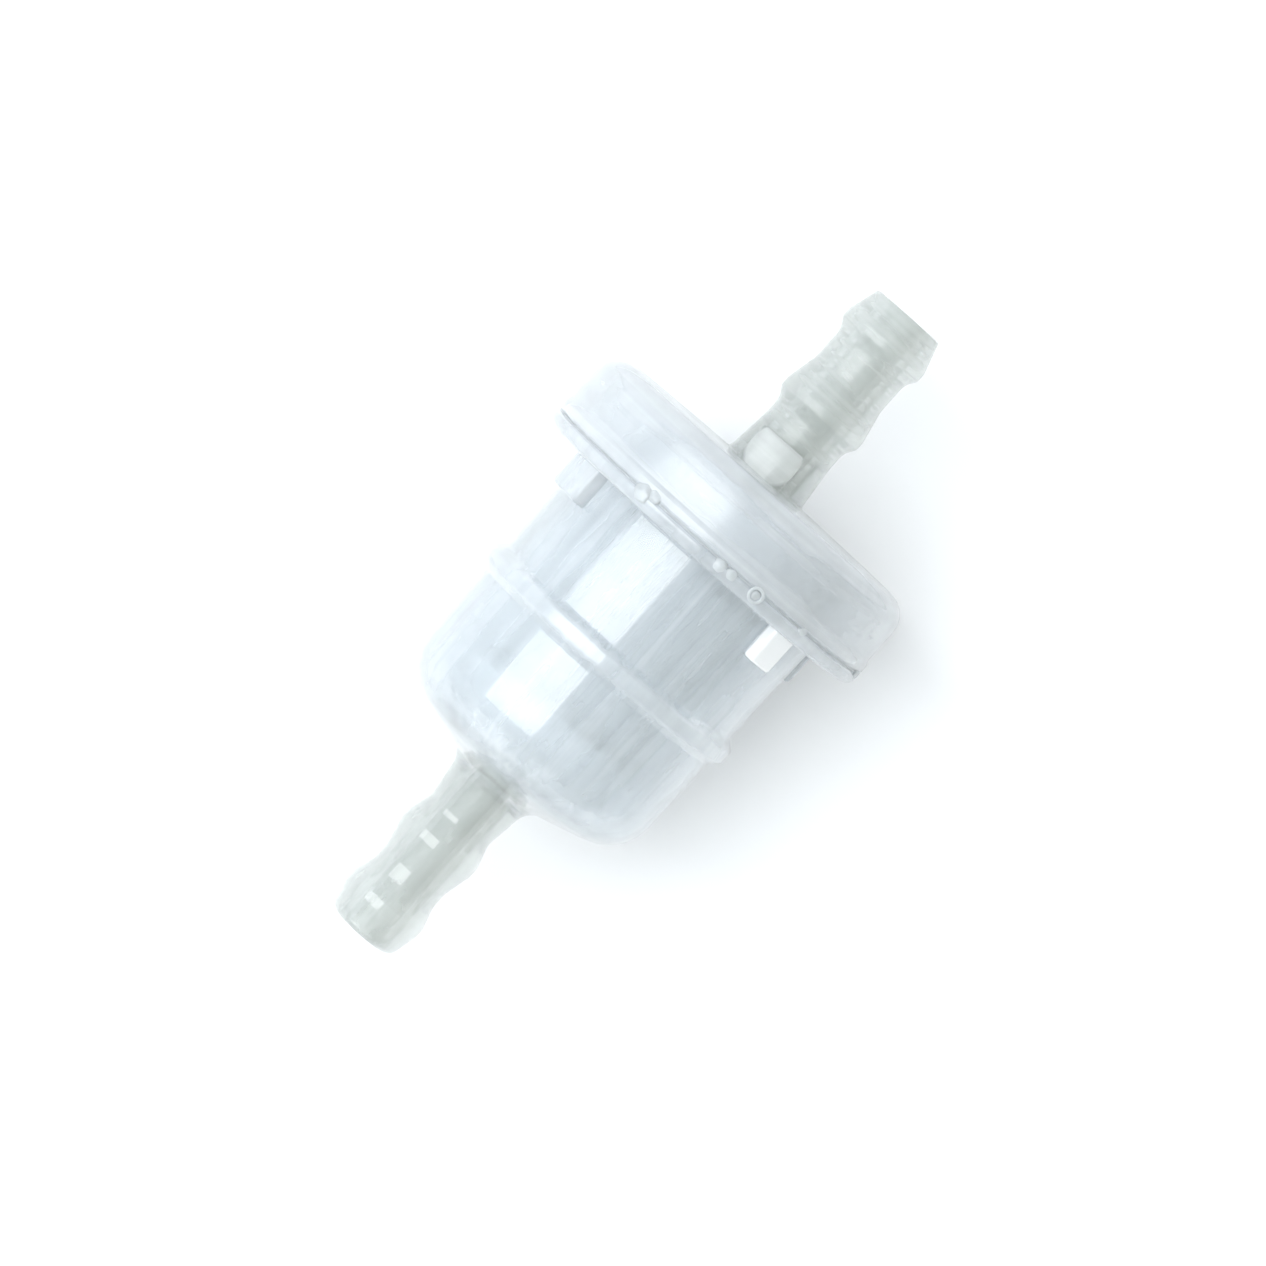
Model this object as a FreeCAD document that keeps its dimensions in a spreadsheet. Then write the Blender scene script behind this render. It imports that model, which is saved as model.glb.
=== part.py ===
"""Small in-line fuel filter: a cup and a cap, cemented together round a gauze strainer.

The flow axis is +X, from the inlet spigot on the cup to the outlet spigot on the cap. The
origin is on that axis, halfway between the tips of the two spigots. Angles round the axis
are counted from +Z towards -Y. Sizes are in millimetres and degrees.
"""

import FreeCAD, Part

import math
import os
import re

import Sketcher

# The driving dimensions. Each name is the alias of a cell in the sheet.
DIMENSIONS = {
    "total_length": 62.0,
    # outlet spigot: radii, then lengths from its tip towards the cap
    "outlet_port": 1.7,
    "outlet_tip": 3.02,
    "outlet_crest": 3.75,
    "outlet_root": 3.2,
    "outlet_foot": 3.58,
    "outlet_nose": 2.48,
    "outlet_land": 0.7,
    "outlet_step": 0.85,
    "outlet_waist": 2.7,
    "outlet_ramp": 2.6,
    "outlet_neck": 1.5,
    "outlet_tip_round": 0.2,
    # inlet spigot: radii, then lengths from its tip towards the cup
    "inlet_port": 1.6,
    "inlet_tip": 2.88,
    "inlet_crest": 3.45,
    "inlet_root": 2.92,
    "inlet_foot": 3.42,
    "inlet_nose": 2.42,
    "inlet_land": 0.8,
    "inlet_step": 1.75,
    "inlet_waist": 1.35,
    "inlet_ramp": 2.3,
    "inlet_neck": 0.4,
    "inlet_tip_round": 0.9,
    # roundings of both spigots
    "crest_round": 0.5,
    "root_round": 1.6,
    "port_chamfer": 0.25,
    # cap
    "cap_top": 14.82,
    "cap_flat": 5.8,
    "cap_crown": 0.25,
    "cap_radius": 14.92,
    "cap_corner": 2.0,
    "cap_wall": 1.5,
    "cap_bead": 15.12,
    "cap_bead_height": 0.75,
    "cap_foot_round": 0.4,
    "cap_turn": -4.5,
    "cap_lug_reach": 4.45,
    "cap_lug_height": 3.12,
    "cap_lug_width": 4.7,
    "cap_lug_round": 0.4,
    "holddown_outer": 11.6,
    "holddown_inner": 10.5,
    # cup
    "joint_plane": 8.48,
    "flange_thickness": 1.22,
    "flange_radius": 15.12,
    "flange_corner": 0.85,
    "flange_root_round": 0.3,
    "collar_height": 3.64,
    "collar_outer": 13.3,
    "collar_inner": 12.0,
    "cup_mouth": 11.2,
    "cup_foot": 11.0,
    "cup_wall": 1.3,
    "cup_corner": 4.0,
    "cup_shoulder": -13.58,
    "cup_base": -15.76,
    "cup_fillet": 1.6,
    "rib_position": -2.83,
    "rib_radius": 11.85,
    "rib_crest": 1.1,
    "rib_flank": 0.7,
    "rib_round": 0.35,
    "cup_lug_height": 3.0,
    "cup_lug_narrow_width": 2.5,
    "cup_lug_narrow_turn": 51.3,
    "cup_lug_wide_width": 4.6,
    "cup_lug_wide_turn": -55.7,
    "cup_lug_top": 12.45,
    "cup_lug_bottom": 12.15,
    "cup_lug_round": 0.35,
    # cemented joint between cap and cup
    "cement_gap": 0.12,
    "joint_chamfer": 0.22,
    "bead_depth": 0.25,
    # strainer
    "strainer_flange": 11.8,
    "strainer_rim": 2.14,
    "strainer_rim_width": 1.4,
    "strainer_plate": 1.1,
    "strainer_outer": 6.95,
    "strainer_bore": 5.75,
    "strainer_stem": 2.4,
    "strainer_foot": -9.08,
    "strainer_foot_ring": 1.4,
    "strainer_hoop": 0.8,
    "strainer_rib": 1.0,
    "gauze_radius": 6.6,
    "gauze_thickness": 0.16,
    "gauze_slot": 0.2,
    "gauze_grip": 0.7,
    "end_gauze_radius": 6.15,
}

WINDOWS_ROUND = 4

# Cement squeezed out of the joint: each drop's angle round the axis, offset towards the
# outlet from the middle of the film, and radius.
CEMENT_DROPS = (
    (-18.5, -0.15, 0.70),
    (-15.0, 0.20, 0.50),
    (11.5, -0.35, 0.52),
    (15.5, -0.30, 0.44),
    (24.7, -0.25, 0.66),
    (44.0, -0.10, 0.38),
    (85.0, -0.10, 0.50),
    (137.0, -0.20, 0.45),
    (178.0, -0.10, 0.62),
    (236.0, -0.25, 0.42),
    (304.0, -0.15, 0.40),
)


def fill_sheet(doc):
    """Gives each driving dimension a named cell."""
    sheet = doc.addObject("Spreadsheet::Sheet", "sizes")
    for row, (alias, value) in enumerate(DIMENSIONS.items(), start=1):
        sheet.set(f"A{row}", alias)
        sheet.set(f"B{row}", str(value))
        sheet.setAlias(f"B{row}", alias)
    doc.recompute()
    return sheet


def bound(formula):
    """The formula with each dimension's name turned into a reference to its cell."""
    return re.sub(r"[a-z_]+", lambda word: f"sizes.{word.group(0)}", formula)


def size(sheet, formula):
    """The number that a formula of dimensions stands for."""
    return float(sheet.evalExpression(bound(formula)))


def new_sketch(body, name, turn=None, lift=None):
    """A sketch on the body's XY plane, turned about the flow axis by a dimension's angle.

    With lift, the sketch is on the YZ plane instead, that far along the flow axis.
    """
    role = "XY_Plane" if lift is None else "YZ_Plane"
    sketch = body.newObject("Sketcher::SketchObject", name)
    plane = next(f for f in body.Origin.OriginFeatures if f.Role == role)
    sketch.AttachmentSupport = [(plane, "")]
    sketch.MapMode = "FlatFace"
    if lift:
        sketch.setExpression("AttachmentOffset.Base.z", bound(lift))
    if turn:
        quarter_turn = FreeCAD.Rotation(FreeCAD.Vector(1, 0, 0), 90)
        sketch.AttachmentOffset = FreeCAD.Placement(FreeCAD.Vector(), quarter_turn)
        sketch.setExpression("AttachmentOffset.Rotation.Angle", bound(turn))
    return sketch


def pin_point(sketch, sheet, geometry, end, corner):
    """Holds a point of the sketch at a corner's two formulas, measured from the origin."""
    for kind, formula in zip(("DistanceX", "DistanceY"), corner):
        constraint = Sketcher.Constraint(kind, -1, 1, geometry, end, size(sheet, formula))
        index = sketch.addConstraint(constraint)
        sketch.setExpression(f"Constraints[{index}]", bound(formula))


def corner_arc(point, back, ahead, radius):
    """The arc that rounds a corner: its two ends, the arc, and whether it turns left."""
    half_angle = back.getAngle(ahead) / 2
    reach = radius / math.tan(half_angle)
    start = point + back * reach
    end = point + ahead * reach
    bisector = (back + ahead).normalize()
    centre = point + bisector * (radius / math.sin(half_angle))
    left = back.cross(ahead).z < 0
    first, last = (start, end) if left else (end, start)
    circle = Part.Circle(centre, FreeCAD.Vector(0, 0, 1), radius)
    arc = Part.ArcOfCircle(
        circle,
        math.atan2(first.y - centre.y, first.x - centre.x),
        math.atan2(last.y - centre.y, last.x - centre.x),
    )
    return start, end, arc, left


def draw_outline(sketch, sheet, corners):
    """Draws a closed outline through corners (x, y) or (x, y, rounding), all formulas."""
    points = [
        FreeCAD.Vector(size(sheet, corner[0]), size(sheet, corner[1]), 0)
        for corner in corners
    ]
    count = len(points)
    starts = list(points)
    ends = list(points)
    arcs = {}
    for i, corner in enumerate(corners):
        if len(corner) == 3:
            back = (points[i - 1] - points[i]).normalize()
            ahead = (points[(i + 1) % count] - points[i]).normalize()
            radius = size(sheet, corner[2])
            starts[i], ends[i], *arcs[i] = corner_arc(points[i], back, ahead, radius)
    lines = [
        sketch.addGeometry(Part.LineSegment(ends[i], starts[(i + 1) % count]), False)
        for i in range(count)
    ]
    for i, corner in enumerate(corners):
        before = lines[i - 1]
        after = lines[i]
        if i not in arcs:
            sketch.addConstraint(Sketcher.Constraint("Coincident", before, 2, after, 1))
            pin_point(sketch, sheet, after, 1, corner)
            continue
        arc, left = arcs[i]
        curve = sketch.addGeometry(arc, False)
        near, far = (1, 2) if left else (2, 1)
        sketch.addConstraint(Sketcher.Constraint("Tangent", before, 2, curve, near))
        sketch.addConstraint(Sketcher.Constraint("Tangent", curve, far, after, 1))
        vertex = sketch.addGeometry(Part.Point(points[i]), True)
        pin_point(sketch, sheet, vertex, 1, corner[:2])
        for line in (before, after):
            sketch.addConstraint(Sketcher.Constraint("PointOnObject", vertex, 1, line))
        radius = Sketcher.Constraint("Radius", curve, size(sheet, corner[2]))
        index = sketch.addConstraint(radius)
        sketch.setExpression(f"Constraints[{index}]", bound(corner[2]))


def turned(body, sheet, kind, name, corners):
    """A full Revolution or Groove about the flow axis: x along the axis, y out from it."""
    sketch = new_sketch(body, name + "Outline")
    draw_outline(sketch, sheet, corners)
    feature = body.newObject(f"PartDesign::{kind}", name)
    feature.Profile = sketch
    feature.ReferenceAxis = (sketch, ["H_Axis"])
    feature.Angle = 360
    body.Document.recompute()
    return feature


def bar(body, sheet, name, turn, span, width, rounding, reach, rounded_end):
    """A flat bar right across the flow axis, which makes a lug on each side.

    span is its two ends along the axis, and rounded_end the one with rounded corners.
    """
    corners = []
    for x, side in ((span[0], "-"), (span[1], "-"), (span[1], ""), (span[0], "")):
        corner = (x, f"{side}{width} / 2")
        if x == rounded_end:
            corner += (rounding,)
        corners.append(corner)
    sketch = new_sketch(body, name + "Outline", turn=turn)
    draw_outline(sketch, sheet, corners)
    feature = body.newObject("PartDesign::Pad", name)
    feature.Profile = sketch
    feature.Midplane = True
    feature.setExpression("Length", bound(f"2.1 * {reach}"))
    body.Document.recompute()
    return feature


def spigot(end, sign, foot_position, foot_round):
    """Outline of a barbed spigot from its tip to its foot.

    Both crests have the same radius and a short cylindrical land, where a hose grips.
    """
    corners = [(f"{sign} * total_length / 2", f"{end}_tip", f"{end}_tip_round")]
    place = "total_length / 2"
    barb = (("nose", "crest"), ("land", "crest"), ("step", "root"), ("waist", "root"))
    second_barb = (("ramp", "crest"), ("land", "crest"), ("step", "root"), ("neck", "root"))
    for length, radius in barb + second_barb:
        place += f" - {end}_{length}"
        corners.append((f"{sign} * ({place})", f"{end}_{radius}", f"{radius}_round"))
    corners.append((foot_position, f"{end}_foot", foot_round))
    return corners


def port(end, sign, inner_face):
    """Outline of a spigot's bore with both mouths flared, as far as the chamber's face."""
    flare = f"{sign} * port_chamfer"
    tip = f"{sign} * total_length / 2"
    return [
        (f"{tip} + {flare}", "0"),
        (f"{tip} + {flare}", f"{end}_port + 2 * port_chamfer"),
        (f"{tip} - {flare}", f"{end}_port"),
        (f"{inner_face} + {flare}", f"{end}_port"),
        (inner_face, f"{end}_port + port_chamfer"),
    ]


def make_cap(doc, sheet):
    """Outlet half: a shallow cap with a barbed spigot, lugs at its foot and an inner ring."""
    body = doc.addObject("PartDesign::Body", "Cap")
    skirt_foot = "joint_plane + cement_gap"
    bead_top = f"{skirt_foot} + cap_bead_height"
    outside = [
        ("total_length / 2", "0"),
        *spigot("outlet", "1", "cap_top", "cap_foot_round"),
        ("cap_top", "cap_flat"),
        ("cap_top - cap_crown", "cap_radius", "cap_corner"),
        (f"{bead_top} + cap_bead_height / 2", "cap_radius"),
        (bead_top, "cap_bead"),
        (f"{skirt_foot} + joint_chamfer", "cap_bead"),
        (skirt_foot, "cap_bead - joint_chamfer"),
        (skirt_foot, "0"),
    ]
    turned(body, sheet, "Revolution", "CapOutside", outside)
    lug_top = "cap_top + cap_lug_height"
    bar(
        body,
        sheet,
        "CapLugs",
        turn="cap_turn",
        span=("cap_top - cap_wall / 2", lug_top),
        width="cap_lug_width",
        rounding="cap_lug_round",
        reach="cap_lug_reach",
        rounded_end=lug_top,
    )
    lug_face = [
        ("cap_top", "cap_lug_reach"),
        (f"{lug_top} + cap_wall", "cap_lug_reach"),
        (f"{lug_top} + cap_wall", "cap_flat"),
        ("cap_top", "cap_flat"),
    ]
    turned(body, sheet, "Groove", "CapLugFaces", lug_face)
    ceiling = "cap_top - cap_wall"
    ring_foot = "joint_plane + strainer_rim"
    skirt_bore = "collar_outer + cement_gap"
    inside = [
        *port("outlet", "1", ceiling),
        (ceiling, "holddown_inner", "port_chamfer"),
        (ring_foot, "holddown_inner"),
        (ring_foot, "holddown_outer"),
        (ceiling, "holddown_outer", "port_chamfer"),
        (ceiling, skirt_bore, "port_chamfer"),
        ("joint_plane", skirt_bore),
        ("joint_plane", "0"),
    ]
    turned(body, sheet, "Groove", "CapInside", inside)
    return body


def make_cup(doc, sheet):
    """Inlet half: a cup with a collared flange, a rib, two pairs of lugs and a barbed spigot."""
    body = doc.addObject("PartDesign::Body", "Cup")
    flange_foot = "joint_plane - flange_thickness"
    collar_top = "joint_plane + collar_height"
    rib_top = "rib_position + rib_crest / 2"
    rib_bottom = "rib_position - rib_crest / 2"
    wall_at_rib = "(cup_mouth + cup_foot) / 2"
    outside = [
        (collar_top, "0"),
        (collar_top, "collar_outer"),
        ("joint_plane", "collar_outer"),
        ("joint_plane", "flange_radius - joint_chamfer"),
        ("joint_plane - joint_chamfer", "flange_radius"),
        (flange_foot, "flange_radius", "flange_corner"),
        (flange_foot, "cup_mouth", "flange_root_round"),
        (f"{rib_top} + rib_flank", wall_at_rib, "rib_round"),
        (rib_top, "rib_radius", "rib_round"),
        (rib_bottom, "rib_radius", "rib_round"),
        (f"{rib_bottom} - rib_flank", wall_at_rib, "rib_round"),
        ("cup_shoulder", "cup_foot", "cup_corner"),
        *reversed(spigot("inlet", "-1", "cup_base", "cup_fillet")),
        ("-total_length / 2", "0"),
    ]
    turned(body, sheet, "Revolution", "CupOutside", outside)
    lug_foot = f"{flange_foot} - cup_lug_height"
    for pair in ("narrow", "wide"):
        bar(
            body,
            sheet,
            f"Cup{pair.capitalize()}Lugs",
            turn=f"cup_lug_{pair}_turn",
            span=("joint_plane - flange_thickness / 2", lug_foot),
            width=f"cup_lug_{pair}_width",
            rounding="cup_lug_round",
            reach="cup_lug_top",
            rounded_end=lug_foot,
        )
    lug_face = [
        (flange_foot, "cup_lug_top"),
        (lug_foot, "cup_lug_bottom"),
        (f"{lug_foot} - cup_lug_round", "cup_lug_bottom"),
        (f"{lug_foot} - cup_lug_round", "flange_radius"),
        (flange_foot, "flange_radius"),
    ]
    turned(body, sheet, "Groove", "CupLugFaces", lug_face)
    inside = [
        *port("inlet", "-1", "cup_base + cup_wall"),
        ("cup_shoulder + cup_wall", "cup_foot - cup_wall", "cup_corner - cup_wall"),
        ("joint_plane", "cup_mouth - cup_wall"),
        ("joint_plane", "collar_inner"),
        (f"{collar_top} + cup_wall", "collar_inner"),
        (f"{collar_top} + cup_wall", "0"),
    ]
    turned(body, sheet, "Groove", "CupInside", inside)
    return body


def make_cement(doc, sheet, cap, cup):
    """Cement of the joint: a film over collar and flange, with drops squeezed out of it."""
    body = doc.addObject("PartDesign::Body", "Cement")
    collar_top = "joint_plane + collar_height"
    film_top = "joint_plane + cement_gap"
    film = [
        (collar_top, "collar_outer"),
        (collar_top, "collar_outer + cement_gap"),
        (film_top, "collar_outer + cement_gap"),
        (film_top, "cap_bead - joint_chamfer"),
        (f"{film_top} + joint_chamfer", "cap_bead"),
        ("joint_plane - joint_chamfer", "flange_radius"),
        ("joint_plane", "flange_radius - joint_chamfer"),
        ("joint_plane", "collar_outer"),
    ]
    turned(body, sheet, "Revolution", "CementFilm", film)
    film_middle = size(sheet, "joint_plane + cement_gap / 2")
    out = size(sheet, "flange_radius - bead_depth")
    for number, (angle, offset, radius) in enumerate(CEMENT_DROPS, start=1):
        drop = body.newObject("PartDesign::AdditiveSphere", f"Drop{number}")
        drop.Radius = radius
        turn = FreeCAD.Rotation(FreeCAD.Vector(1, 0, 0), angle)
        centre = turn.multVec(FreeCAD.Vector(film_middle + offset, 0, out))
        drop.Placement = FreeCAD.Placement(centre, FreeCAD.Rotation())
        doc.recompute()
    piece = body
    for neighbour in (cup, cap):
        cut = doc.addObject("Part::Cut", f"CementClearOf{neighbour.Name}")
        cut.Base = piece
        cut.Tool = neighbour
        piece = cut
    doc.recompute()
    return piece


def make_cage(doc, sheet):
    """Strainer's carrier: a rimmed flange, a stem, ribs and a hoop under the gauze, a foot."""
    body = doc.addObject("PartDesign::Body", "Cage")
    rim_top = "joint_plane + strainer_rim"
    plate_top = "joint_plane + strainer_plate"
    stem_foot = "joint_plane - strainer_stem"
    foot_top = "strainer_foot + strainer_foot_ring"
    rib_face = "gauze_radius - gauze_slot / 2"
    outside = [
        (plate_top, "strainer_bore"),
        (plate_top, "strainer_flange - strainer_rim_width"),
        (rim_top, "strainer_flange - strainer_rim_width"),
        (rim_top, "strainer_flange"),
        ("joint_plane", "strainer_flange"),
        ("joint_plane", "strainer_outer"),
        (stem_foot, "strainer_outer"),
        (stem_foot, rib_face),
        (foot_top, rib_face),
        (foot_top, "strainer_outer"),
        ("strainer_foot", "strainer_outer"),
        ("strainer_foot", "strainer_bore"),
    ]
    turned(body, sheet, "Revolution", "CageTurning", outside)
    slot_outer = "gauze_radius + gauze_slot / 2"
    for name, edge, depth in (
        ("StemSlot", stem_foot, "+ gauze_grip"),
        ("FootSlot", foot_top, "- gauze_grip"),
    ):
        slot = [
            (edge, rib_face),
            (edge, slot_outer),
            (f"{edge} {depth}", slot_outer),
            (f"{edge} {depth}", rib_face),
        ]
        turned(body, sheet, "Groove", name, slot)
    foot_middle = "strainer_foot + strainer_foot_ring / 2"
    seat_depth = "end_gauze_radius + gauze_slot / 2"
    seat = [
        (f"{foot_middle} + gauze_slot / 2", "strainer_bore - gauze_slot"),
        (f"{foot_middle} + gauze_slot / 2", seat_depth),
        (f"{foot_middle} - gauze_slot / 2", seat_depth),
        (f"{foot_middle} - gauze_slot / 2", "strainer_bore - gauze_slot"),
    ]
    turned(body, sheet, "Groove", "EndGauzeSlot", seat)
    row = f"({stem_foot} - ({foot_top}) - strainer_hoop) / 2"
    windows = []
    for name, foot in (("LowerWindow", foot_top), ("UpperWindow", f"{stem_foot} - {row}")):
        sketch = new_sketch(body, name + "Outline", lift=foot)
        corners = [
            ("strainer_rib / 2", "strainer_rib / 2"),
            ("strainer_outer", "strainer_rib / 2"),
            ("strainer_outer", "strainer_outer"),
            ("strainer_rib / 2", "strainer_outer"),
        ]
        draw_outline(sketch, sheet, corners)
        window = body.newObject("PartDesign::Pocket", name)
        window.Profile = sketch
        window.Reversed = True
        window.setExpression("Length", bound(row))
        doc.recompute()
        windows.append(window)
    pattern = body.newObject("PartDesign::PolarPattern", "WindowsRound")
    pattern.Originals = windows
    pattern.Axis = (windows[0].Profile[0], ["N_Axis"])
    pattern.Angle = 360
    pattern.Occurrences = WINDOWS_ROUND
    body.Tip = pattern
    doc.recompute()
    return body


def make_side_gauze(doc, sheet):
    """Gauze sleeve that lies on the cage's ribs, with its ends in the slots."""
    body = doc.addObject("PartDesign::Body", "SideGauze")
    foot = "strainer_foot + strainer_foot_ring - gauze_grip + gauze_slot / 2"
    head = "joint_plane - strainer_stem + gauze_grip - gauze_slot / 2"
    inner = "gauze_radius - gauze_thickness / 2"
    outer = "gauze_radius + gauze_thickness / 2"
    turned(
        body,
        sheet,
        "Revolution",
        "Sleeve",
        [(foot, inner), (foot, outer), (head, outer), (head, inner)],
    )
    return body


def make_end_gauze(doc, sheet):
    """Gauze disc that closes the cage's foot."""
    body = doc.addObject("PartDesign::Body", "EndGauze")
    middle = "strainer_foot + strainer_foot_ring / 2"
    below = f"{middle} - gauze_thickness / 2"
    above = f"{middle} + gauze_thickness / 2"
    turned(
        body,
        sheet,
        "Revolution",
        "Disc",
        [(below, "0"), (below, "end_gauze_radius"), (above, "end_gauze_radius"), (above, "0")],
    )
    return body


def check(doc, pieces):
    """Stops if any feature failed or any piece isn't one valid closed solid."""
    for feature in doc.Objects:
        if {"Invalid", "Error"} & set(feature.State):
            raise RuntimeError(f"{feature.Name} failed")
    for name, piece in pieces.items():
        shape = piece.Shape
        if shape.isNull() or not shape.isValid() or len(shape.Solids) != 1:
            raise RuntimeError(f"{name} isn't one valid solid")
        print(f"{name}: {shape.Volume:.2f} mm3")


def main():
    doc = FreeCAD.newDocument("FuelFilter")
    sheet = fill_sheet(doc)
    cap = make_cap(doc, sheet)
    cup = make_cup(doc, sheet)
    pieces = {
        "cap": cap,
        "cup": cup,
        "joint_cement": make_cement(doc, sheet, cap, cup),
        "strainer_cage": make_cage(doc, sheet),
        "side_gauze": make_side_gauze(doc, sheet),
        "end_gauze": make_end_gauze(doc, sheet),
    }
    doc.recompute()
    check(doc, pieces)
    os.makedirs("parts", exist_ok=True)
    for name, piece in pieces.items():
        piece.Label = name
        piece.Shape.exportStep(f"parts/{name}.step")


main()
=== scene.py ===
import math

import bmesh
import bpy
from mathutils import Matrix, Vector
from mathutils.noise import noise as noise_at


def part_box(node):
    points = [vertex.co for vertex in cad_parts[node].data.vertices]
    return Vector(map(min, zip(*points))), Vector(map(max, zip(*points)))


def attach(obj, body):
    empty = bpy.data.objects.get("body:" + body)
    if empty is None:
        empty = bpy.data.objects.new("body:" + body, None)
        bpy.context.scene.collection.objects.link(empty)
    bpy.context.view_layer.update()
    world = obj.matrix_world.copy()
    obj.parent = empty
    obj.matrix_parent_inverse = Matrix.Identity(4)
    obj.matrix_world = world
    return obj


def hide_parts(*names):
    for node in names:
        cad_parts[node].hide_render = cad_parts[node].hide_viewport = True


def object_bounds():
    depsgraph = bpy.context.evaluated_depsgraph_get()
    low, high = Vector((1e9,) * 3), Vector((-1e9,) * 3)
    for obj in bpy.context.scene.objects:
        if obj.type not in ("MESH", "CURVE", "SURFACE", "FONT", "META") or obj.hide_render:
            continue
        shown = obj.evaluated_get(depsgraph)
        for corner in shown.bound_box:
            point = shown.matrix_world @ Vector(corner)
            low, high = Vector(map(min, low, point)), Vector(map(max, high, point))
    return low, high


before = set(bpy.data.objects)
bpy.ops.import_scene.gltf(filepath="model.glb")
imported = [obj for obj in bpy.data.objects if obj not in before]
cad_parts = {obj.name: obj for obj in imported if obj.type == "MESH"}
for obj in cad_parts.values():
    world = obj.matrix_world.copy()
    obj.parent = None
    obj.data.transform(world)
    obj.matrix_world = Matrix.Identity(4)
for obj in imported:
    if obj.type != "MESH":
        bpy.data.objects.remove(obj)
cad_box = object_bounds()

# ---- Cup ---------------------------------------------------------------------------------
# The inlet half of the filter: a thin-walled cup with a coned floor, a barbed hose spigot, a
# stiffening ring, four lugs under its flange and a collar that rises inside the cap. It is
# one moulding in clear nylon, slightly milky, so its outline is turned and its lugs joined on.
MM = 0.001
CUP_LOW, CUP_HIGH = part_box("cup")
CAP_LOW, CAP_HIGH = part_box("cap")
INLET_TIP = CUP_LOW.x
OUTLET_TIP = CAP_HIGH.x
CREST_ROUND = 0.5 * MM
ROOT_ROUND = 1.6 * MM
PORT_FLARE = 0.25 * MM
FLANGE_RADIUS = (CUP_HIGH.z - CUP_LOW.z) / 2
COLLAR_HEIGHT = 3.64 * MM
COLLAR_TOP = CUP_HIGH.x
JOINT = COLLAR_TOP - COLLAR_HEIGHT
COLLAR_OUTER = 13.3 * MM
COLLAR_INNER = 12.0 * MM
FLANGE_THICKNESS = 1.22 * MM
JOINT_CHAMFER = 0.22 * MM
CUP_MOUTH = 11.2 * MM
CUP_FOOT = 11.0 * MM
CUP_WALL = 1.3 * MM
CUP_CORNER = 4.0 * MM
CUP_SHOULDER = -13.58 * MM
CUP_BASE = -15.76 * MM
RING_MIDDLE = -2.83 * MM
RING_RADIUS = 11.85 * MM
RING_CREST = 1.1 * MM
RING_FLANK = 0.7 * MM
RING_ROUND = 0.35 * MM
LUG_HEIGHT = 3.0 * MM
LUGS = ((51.3, 2.5 * MM), (231.3, 2.5 * MM), (124.3, 4.6 * MM), (304.3, 4.6 * MM))
LUG_TOP = 12.45 * MM
LUG_BOTTOM = 12.15 * MM
STEPS_ROUND = 192
STEPS_IN_A_ROUNDING = 5
LONGEST_STEP = 0.6 * MM


def spigot_outline(tip, inward, sizes, foot, foot_round):
    """Outline of a barbed spigot from its tip: corners (x, radius, rounding)."""
    corners = [(tip, sizes["tip"], sizes["tip_round"])]
    x = tip
    for length, radius in (
        ("nose", "crest"), ("land", "crest"), ("step", "root"), ("waist", "root"),
        ("ramp", "crest"), ("land", "crest"), ("step", "root"), ("neck", "root"),
    ):
        x += inward * sizes[length]
        corners.append((x, sizes[radius], CREST_ROUND if radius == "crest" else ROOT_ROUND))
    corners.append((foot, sizes["foot"], foot_round))
    return corners


def in_metres(**sizes):
    return {name: value * MM for name, value in sizes.items()}


def socket_named(tree, name, kind, in_out="INPUT"):
    return tree.interface.new_socket(name=name, in_out=in_out, socket_type=kind)


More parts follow.
